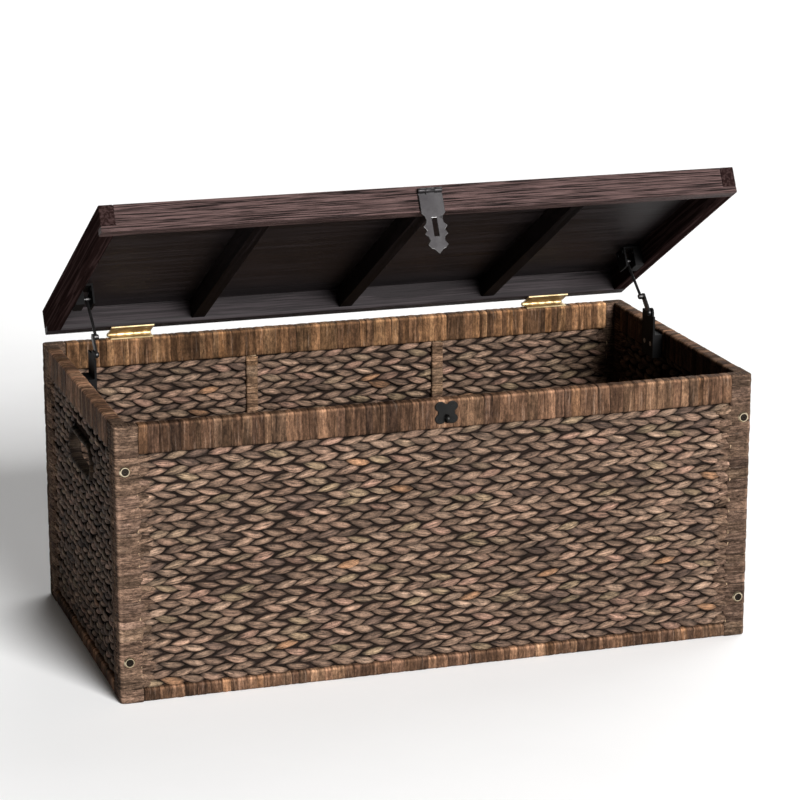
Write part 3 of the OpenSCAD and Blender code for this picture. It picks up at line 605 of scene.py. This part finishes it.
def stile_wrap(name, place, length, width, seed, outer_r, tongue):
    """The two stiles of a panel, wound with level strips that run on into the braids."""
    rng = np.random.default_rng(seed)
    shells = Shells()
    for side in (-1, 1):
        half_x, half_y = width / 2 - STRIP_LIFT, WALL_T / 2 - STRIP_LIFT
        outer, inner = max(outer_r - STRIP_LIFT, 1.5), 2.0
        radii = (inner, inner, outer, inner) if side < 0 else (inner, inner, inner, outer)
        loop = rounded_loop(half_x, half_y, radii)
        position = 0.0
        first = len(shells.points)
        high_start = FIELD_HIGH + rng.uniform(-4, 2)
        widths = list(strip_widths(rng, high_start, 9, 26, 17.0))
        widths += list(strip_widths(rng, BODY_H - 1.0 - high_start, 12, 26, 18.0))
        for band in widths:
            low_part = position + band / 2 < FIELD_HIGH - 3
            stretch = rng.uniform(*tongue) if low_part and position > FIELD_LOW else 0.0
            peak = rng.uniform(-0.5, 0.5)

            def reach(flat, across, stretch=stretch, peak=peak):
                inward = np.clip(-side * flat[..., 0] / half_x, 0, 1) ** 2
                shape = np.clip(1 - np.abs(across - peak) / 1.25, 0, 1)[None, :] ** 0.8
                out = flat.copy()
                out[..., 0] -= side * inward * (stretch * shape - 2.0 * (stretch > 0))
                out[..., 1] *= 1 - 0.2 * inward * (stretch > 0)
                return out

            tone = STILE_TINT * STILE_TONES[rng.choice(len(STILE_TONES), p=STILE_ODDS)]
            tone = tone * rng.uniform(0.72, 1.3) * (1.0 if side < 0 else 0.74)
            # bright paints a highlight on the stile's outer corner
            strip(shells, loop, position + band / 2, band + 1.4, tone, rng,
                  tilt=rng.uniform(-1.0, 1.0), rise=rng.uniform(-0.35, 0.2), reach=reach,
                  within=(0.2, BODY_H - 1.0),
                  bright=lambda p, n, side=side: np.clip((side * n[:, 0] - n[:, 1]) * 2.5 - 2.5, 0, 1))
            position += band
        stile_cap(shells, loop, BODY_H - 0.2, STILE_TINT * STILE_TONES[0])
        loose = len(shells.points)
        stile_fingers(shells, side, length, width, rng)
        for block in range(first, loose):
            shells.points[block] = shells.points[block] + [side * (length - width) / 2, 0, 0]
    piece = shells.build(f"{name}_strips", stile_paint, place)
    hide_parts(name)
    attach(piece, "trunk")


def upright_wraps(seed):
    """The two uprights on the inside of the back wall."""
    rng = np.random.default_rng(seed)
    shells = Shells()
    low, high = node_box("back_upright_wraps")
    size = 18.0
    lift = 1.6
    for x in (low[0] + size / 2, high[0] - size / 2):
        loop = rounded_loop(size / 2 - lift, (high[1] - low[1]) / 2 - lift, (1.5,) * 4)
        position = low[2]
        first = len(shells.points)
        for band in strip_widths(rng, high[2] - low[2], 9, 26, 15.0):
            tone = RAIL_TONES[rng.choice(len(RAIL_TONES), p=RAIL_ODDS)]
            strip(shells, loop, position + band / 2, band + 0.8,
                  tone * UPRIGHT_TINT * rng.uniform(0.8, 1.3), rng,
                  tilt=rng.uniform(-0.6, 0.6), rise=rng.uniform(-0.3, 0.0))
            position += band
        for block in range(first, len(shells.points)):
            shells.points[block] = shells.points[block] + [x, (low[1] + high[1]) / 2, 0]
    piece = shells.build("back_upright_strips", stile_paint)
    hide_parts("back_upright_wraps")
    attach(piece, "trunk")


def hand_hole_lip(name, place, seed):
    """The wound lip round a hand hole."""
    rng = np.random.default_rng(seed)
    radius = (LIP_H - LIP_W) / 2
    straight = LIP_L / 2 - LIP_H / 2
    spots = []
    turn = np.linspace(-90, 90, 40)
    for side, base in ((1, 0), (-1, 180)):
        spots += [[side * straight + radius * math.cos(math.radians(a + base)),
                   radius * math.sin(math.radians(a + base))] for a in turn]
        spots += [[side * straight * (1 - 2 * f), side * radius] for f in np.linspace(0.03, 0.97, 48)]
    path = np.array(spots)
    ahead = np.roll(path, -1, axis=0) - np.roll(path, 1, axis=0)
    ahead /= np.linalg.norm(ahead, axis=1, keepdims=True)
    normal = np.stack([ahead[:, 1], -ahead[:, 0]], axis=1)
    step = np.linalg.norm(np.roll(path, -1, axis=0) - path, axis=1)
    length = np.cumsum(step) - step[0]
    strips = 34
    # lip_shade darkens the lip's strips: painted shade in the hand hole; the lift from swell adds painted
    # shade in the seams between strips
    lip_shade = 0.22
    saw = (length / length[-1] * strips) % 1.0
    swell = 0.55 * np.sin(math.pi * saw) ** 0.6
    number = (length / length[-1] * strips).astype(int) % strips
    tones = RAIL_TONES[rng.choice(len(RAIL_TONES), size=strips, p=RAIL_ODDS)] * lip_shade
    turn = np.linspace(0, 2 * math.pi, 16, endpoint=False)
    wide, thick = LIP_W / 2 - 0.6, LIP_T / 2 - 0.6
    shape_n = np.sign(np.cos(turn)) * np.abs(np.cos(turn)) ** 0.7
    shape_y = np.sign(np.sin(turn)) * np.abs(np.sin(turn)) ** 0.7
    out = normal[:, None, :] * ((wide + swell)[:, None] * shape_n[None, :])[..., None]
    grid = np.stack([path[:, None, 0] + out[..., 0],
                     (thick + swell)[:, None] * shape_y[None, :],
                     HOLE_Z + path[:, None, 1] + out[..., 1]], axis=-1)
    run = np.stack([np.broadcast_to((turn * 5)[None, :], grid.shape[:2]),
                    np.broadcast_to(length[:, None], grid.shape[:2]),
                    np.broadcast_to(number[:, None] * 3.1, grid.shape[:2])], axis=-1)
    shells = Shells()
    shells.add(grid, tones[number][:, None, :], run,
               np.clip(swell / 0.35, 0, 1)[:, None], closed_rows=True)
    piece = shells.build(f"{name}_strips", rail_paint, place)
    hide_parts(name)
    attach(piece, "trunk")


# ---------------------------------------------------------------- the materials in use
# The numbers of wrap_material in order: speckle, edge_gain, long, fine, swing, band_swing, grain,
# gloss, rough
strands = strand_material()
rail_paint = wrap_material("rail_strips", 0.6, 2.4, 0.014, 0.30, 0.44, 0.48, 0.42, 0.05, 0.60)
stile_paint = wrap_material("stile_strips", 0.25, 1.7, 0.030, 0.50, 0.72, 0.34, 0.55, 0.04, 0.72)
# near black: painted shade between the strands
core_paint = plain_material("weave_core_painted_shade", (0.008, 0.006, 0.005), (0.018, 0.012, 0.010), 0.9,
                            gloss=0.0)

joints = {j["name"]: j for j in frame["record"]["behaviour"]["joints"]}
LID_ANGLE = math.radians(max(abs(v) for v in joints["lid_hinge"]["range_deg"]))

espresso_dark, espresso_light = (0.004, 0.002, 0.0018), (0.100, 0.062, 0.058)
finishes = {
    "front_frame": plain_material("bare_softwood", (0.30, 0.21, 0.13), (0.22, 0.15, 0.09), 0.7),
    "bottom_panel": wood_material("floor_board", (0.012, 0.008, 0.006), (0.035, 0.024, 0.018),
                                  relief=0.0004, rough=0.6),
    "bottom_battens": plain_material("batten_wood", (0.20, 0.14, 0.09), (0.14, 0.10, 0.065), 0.7),
    "lid_front_rail": wood_material("lid_long_grain", espresso_dark, espresso_light, relief=0.0022,
                                    gloss=0.08, coarse=2.9, window=(0.40, 0.58)),
    "lid_back_rail": wood_material("lid_back_grain", (0.016, 0.0125, 0.0135), (0.036, 0.029, 0.031),
                                   relief=0.0003, rough=0.55, gloss=0.12),
    "lid_left_rail": wood_material("lid_side_grain", (0.012, 0.0063, 0.0058), (0.034, 0.0200, 0.0190),
                                   turn=LID_ANGLE, along=1, relief=0.0004, rough=0.70, gloss=0.0),
    "lid_panel": wood_material("lid_board", (0.014, 0.011, 0.0112), (0.034, 0.027, 0.028),
                               relief=0.0002, rough=0.46, gloss=0.13, coarse=0.6),
    # darker than lid_board: painted shade on the ribs
    "lid_ribs": wood_material("lid_rib_painted_shade_grain", (0.003, 0.002, 0.002), (0.010, 0.007, 0.007),
                              turn=LID_ANGLE, along=1, relief=0.0003, rough=0.6, gloss=0.05),
    "hasp_strap": metal_material("gunmetal", (0.036, 0.034, 0.035), (0.024, 0.022, 0.023), 0.42, 0.9),
    "hasp_leaf": metal_material("gunmetal_dark", (0.040, 0.038, 0.039), (0.025, 0.023, 0.024), 0.45, 0.9),
    "staple": metal_material("black_iron", (0.007, 0.0065, 0.006), (0.004, 0.0038, 0.0035), 0.45, 0.8),
    "bolt_washers": metal_material("brass_washer", (0.62, 0.53, 0.38), (0.42, 0.34, 0.22), 0.30, 1.0),
    "corner_bolts": metal_material("bolt_steel", (0.025, 0.020, 0.016), (0.012, 0.010, 0.008), 0.35, 1.0),
    "left_hinge_body_leaf": metal_material("hinge_brass", (0.60, 0.47, 0.27), (0.34, 0.25, 0.13),
                                           0.46, 1.0),
    "stay_lid_block": plain_material("stay_black", (0.0028, 0.0027, 0.0028), (0.0055, 0.0052, 0.0053),
                                     0.6, relief=0.0001, gloss=0.06),
    "stay_lever": metal_material("stay_steel", (0.055, 0.053, 0.053), (0.030, 0.028, 0.028), 0.40, 0.9),
    "stay_screws": metal_material("screw_steel", (0.45, 0.44, 0.43), (0.30, 0.29, 0.28), 0.32, 1.0),
}
# lighter metal on the hasp strap's bevelled edges: partly wear, partly painted highlight
bright_edge = metal_material("worn_edge_and_highlight", (0.20, 0.195, 0.195), (0.12, 0.115, 0.115), 0.42, 1.0)
use = {
    "front_frame": "front_frame", "back_frame": "front_frame", "left_frame": "front_frame",
    "right_frame": "front_frame", "bottom_panel": "bottom_panel", "bottom_battens": "bottom_battens",
    "corner_bolts": "corner_bolts", "bolt_washers": "bolt_washers",
    "threaded_inserts": "bolt_washers", "staple": "staple", "staple_screws": "staple",
    "hinge_body_screws": "left_hinge_body_leaf", "hinge_lid_screws": "left_hinge_body_leaf",
    "lid_front_rail": "lid_front_rail", "lid_back_rail": "lid_back_rail",
    "lid_left_rail": "lid_left_rail", "lid_right_rail": "lid_left_rail",
    "lid_panel": "lid_panel", "lid_ribs": "lid_ribs", "hasp_leaf": "hasp_leaf",
    "hasp_strap": "hasp_strap", "hasp_pin": "hasp_leaf", "hasp_screws": "hasp_leaf",
    "stay_bracket_screws": "stay_screws", "stay_block_screws": "stay_screws",
}
for side in ("left", "right"):
    for part in ("hinge_body_leaf", "hinge_lid_leaf", "hinge_pin"):
        use[f"{side}_{part}"] = "left_hinge_body_leaf"
    for part in ("stay_bracket", "stay_lid_block"):
        use[f"{side}_{part}"] = "stay_lid_block"
    for part in ("stay_lever", "stay_rod"):
        use[f"{side}_{part}"] = "stay_lever"

# How far the edges of the carried-over parts are rounded, in mm
edge_round = {"lid_front_rail": 1.3, "lid_back_rail": 1.3, "lid_left_rail": 1.3,
              "lid_right_rail": 1.3, "lid_ribs": 1.0, "hasp_strap": 0.55, "staple": 0.4,
              "hasp_leaf": 0.3, "left_stay_lid_block": 0.6, "right_stay_lid_block": 0.6,
              "left_stay_bracket": 0.5, "right_stay_bracket": 0.5, "left_stay_lever": 0.5,
              "right_stay_lever": 0.5, "left_hinge_body_leaf": 0.25, "right_hinge_body_leaf": 0.25,
              "left_hinge_lid_leaf": 0.25, "right_hinge_lid_leaf": 0.25, "bottom_battens": 0.8}
for name, key in use.items():
    made = nodes[name]
    made.data.materials.clear()
    made.data.materials.append(finishes[key])
    if name in edge_round:
        weld = made.modifiers.new("weld", "WELD")
        weld.merge_threshold = 0.00001
        bevel = made.modifiers.new("round", "BEVEL")
        bevel.width = edge_round[name] * MM
        bevel.segments = 2
        bevel.limit_method = "ANGLE"
        bevel.angle_limit = math.radians(40)
        if name == "hasp_strap":
            made.data.materials.append(bright_edge)
            bevel.segments = 1
            bevel.material = 1

# ---------------------------------------------------------------- the woven walls
front_l, side_l = HALF_W - STILE_W, INNER_Y - SIDE_STILE_W
TUCK = 9.0
for name, place, seed in (("front", at_front, 11), ("back", at_back, 23)):
    braided_wall(name, place, -front_l - TUCK, front_l + TUCK, seed)
    wall_core(name, place, -front_l, front_l)
    rail_wrap(f"{name}_top_wrap", place, -front_l, front_l, FIELD_HIGH, BODY_H, seed + 1,
              BACK_RAIL_PAINTED_LIGHT_TINT if name == "back" else RAIL_TINT)
    rail_wrap(f"{name}_bottom_wrap", place, -front_l, front_l, 0, FIELD_LOW, seed + 2, RAIL_TINT)
for name, place, seed in (("left", at_left, 37), ("right", at_right, 53)):
    # shade=0.75 darkens the side walls' strands: painted shade
    braided_wall(name, place, -side_l - TUCK, side_l + TUCK, seed, shade=0.75, hand_hole=True)
    wall_core(name, place, -side_l, side_l, hand_hole=True)
    rail_wrap(f"{name}_top_wrap", place, -side_l, side_l, FIELD_HIGH, BODY_H, seed + 1, RAIL_TINT)
    rail_wrap(f"{name}_bottom_wrap", place, -side_l, side_l, 0, FIELD_LOW, seed + 2, RAIL_TINT)
    hand_hole_lip(f"{name}_hand_hole_lip", place, seed + 4)


def back_flipped(p):
    return np.stack([-p[:, 0], -p[:, 1], p[:, 2]], axis=1) + [0, HALF_D - WALL_T / 2, 0]


stile_wrap("front_stile_wraps", at_front, 2 * HALF_W, STILE_W, 71, CORNER_R, (2.0, 7.0))
stile_wrap("back_stile_wraps", back_flipped, 2 * HALF_W, STILE_W, 72, CORNER_R, (2.0, 7.0))
stile_wrap("left_stile_wraps", at_left, SIDE_L, SIDE_STILE_W, 73, 2.0, (2.0, 7.0))
stile_wrap("right_stile_wraps", at_right, SIDE_L, SIDE_STILE_W, 74, 2.0, (2.0, 7.0))
upright_wraps(91)


def staple_shape():
    """The staple: a four-lobed plate and the loop that the hasp's slot fits over."""
    low, high = node_box("staple")
    plate_t, seat = 1.7, 0.2
    middle, height = (low[0] + high[0]) / 2, high[2] - low[2]
    centre_z = (low[2] + high[2]) / 2
    lobe_x, lobe_z, lobe_w, lobe_h = 8.5, height / 2 - 5.8, 7.9, 7.0
    waist = 12.2

    def inside(x, z):
        lobe = ((abs(x) - lobe_x) / lobe_w) ** 2 + ((abs(z) - lobe_z) / lobe_h) ** 2
        return lobe < 1 or x * x + z * z < waist ** 2

    outline = []
    for angle in np.linspace(0, 2 * math.pi, 96, endpoint=False):
        x, z = math.cos(angle), math.sin(angle)
        reach = max(r for r in np.arange(4.0, 22.0, 0.1) if inside(x * r, z * r))
        outline.append([x * reach, z * reach])
    outline = np.array(outline)
    shells = Shells()
    plate_front = -HALF_D - plate_t
    layers = ((1.0, -HALF_D + seat), (1.0, plate_front + 0.5), (0.97, plate_front + 0.1),
              (0.94, plate_front), (0.3, plate_front))
    plate = np.array([[[middle + share * x, y, centre_z + share * z] for x, z in outline]
                      for share, y in layers])
    shells.add(plate, np.zeros(3), np.zeros(3), np.zeros(()))
    loop_r, loop_hole_r, loop_t, loop_drop = 6.0, 3.0, 4.4, 7.7
    bend_y, bend_z = low[1] + loop_r, centre_z - loop_drop
    mean, half_r, half_x = (loop_r + loop_hole_r) / 2, (loop_r - loop_hole_r) / 2, loop_t / 2
    path = [[plate_front + 0.4, bend_z + mean, 0.0, 1.0]]
    for turn in np.radians(np.linspace(90, 270, 15)):
        path.append([bend_y + mean * math.cos(turn), bend_z + mean * math.sin(turn),
                     math.cos(turn), math.sin(turn)])
    path.append([plate_front + 0.4, bend_z - mean, 0.0, -1.0])
    around = np.linspace(0, 2 * math.pi, 16, endpoint=False)
    wide = np.sign(np.cos(around)) * np.abs(np.cos(around)) ** 0.6 * half_x
    deep = np.sign(np.sin(around)) * np.abs(np.sin(around)) ** 0.6 * half_r
    loop = np.array([[[middle + w, y + ny * d, z + nz * d] for w, d in zip(wide, deep)]
                     for y, z, ny, nz in path])
    shells.add(loop, np.zeros(3), np.zeros(3), np.zeros(()))
    piece = shells.build("staple_plate", finishes["staple"])
    piece.data.polygons.foreach_set("use_smooth", [False] * len(piece.data.polygons))
    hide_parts("staple")
    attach(piece, "trunk")


staple_shape()

# ---------------------------------------------------------------- floor, light and camera
floor = bpy.data.meshes.new("studio_floor")
floor.from_pydata([(-30, -30, -0.0005), (30, -30, -0.0005), (30, 60, -0.0005), (-30, 60, -0.0005)],
                  [], [(0, 1, 2, 3)])
floor_paint = plain_material("studio_paper", (0.92, 0.92, 0.92), (0.90, 0.90, 0.90), 0.8, scale=3.0,
                             relief=0.00001)
add_object("studio_floor", floor, floor_paint)

world = bpy.data.worlds.new("studio")
bpy.context.scene.world = world
world.use_nodes = True
world.node_tree.nodes["Background"].inputs[0].default_value = (1.0, 0.93, 0.86, 1.0)
world.node_tree.nodes["Background"].inputs[1].default_value = 0.08


def soft_sun(name, toward, strength, spread):
    """A distant soft light. toward points from the trunk to the light."""
    data = bpy.data.lights.new(name, "SUN")
    data.energy = strength
    data.angle = math.radians(spread)
    made = bpy.data.objects.new(name, data)
    bpy.context.scene.collection.objects.link(made)
    made.rotation_euler = Vector(toward).to_track_quat("Z", "Y").to_euler()


soft_sun("key", (0.23, -0.89, 0.37), 7.1, 26)
soft_sun("rear_fill", (0.62, 0.62, 0.48), 1.9, 60)
bpy.context.scene.view_settings.view_transform = "Standard"

camera_data = bpy.data.cameras.new("camera")
camera_data.lens = 129.5
camera_data.sensor_width = 36
camera_data.clip_end = 200
camera = bpy.data.objects.new("camera", camera_data)
bpy.context.scene.collection.objects.link(camera)
camera.location = (-1.2164, -3.8149, 1.3985)
forward = Vector((0.29684, 0.91908, -0.25922))
camera.rotation_euler = forward.to_track_quat("-Z", "Y").to_euler()
bpy.context.scene.camera = camera
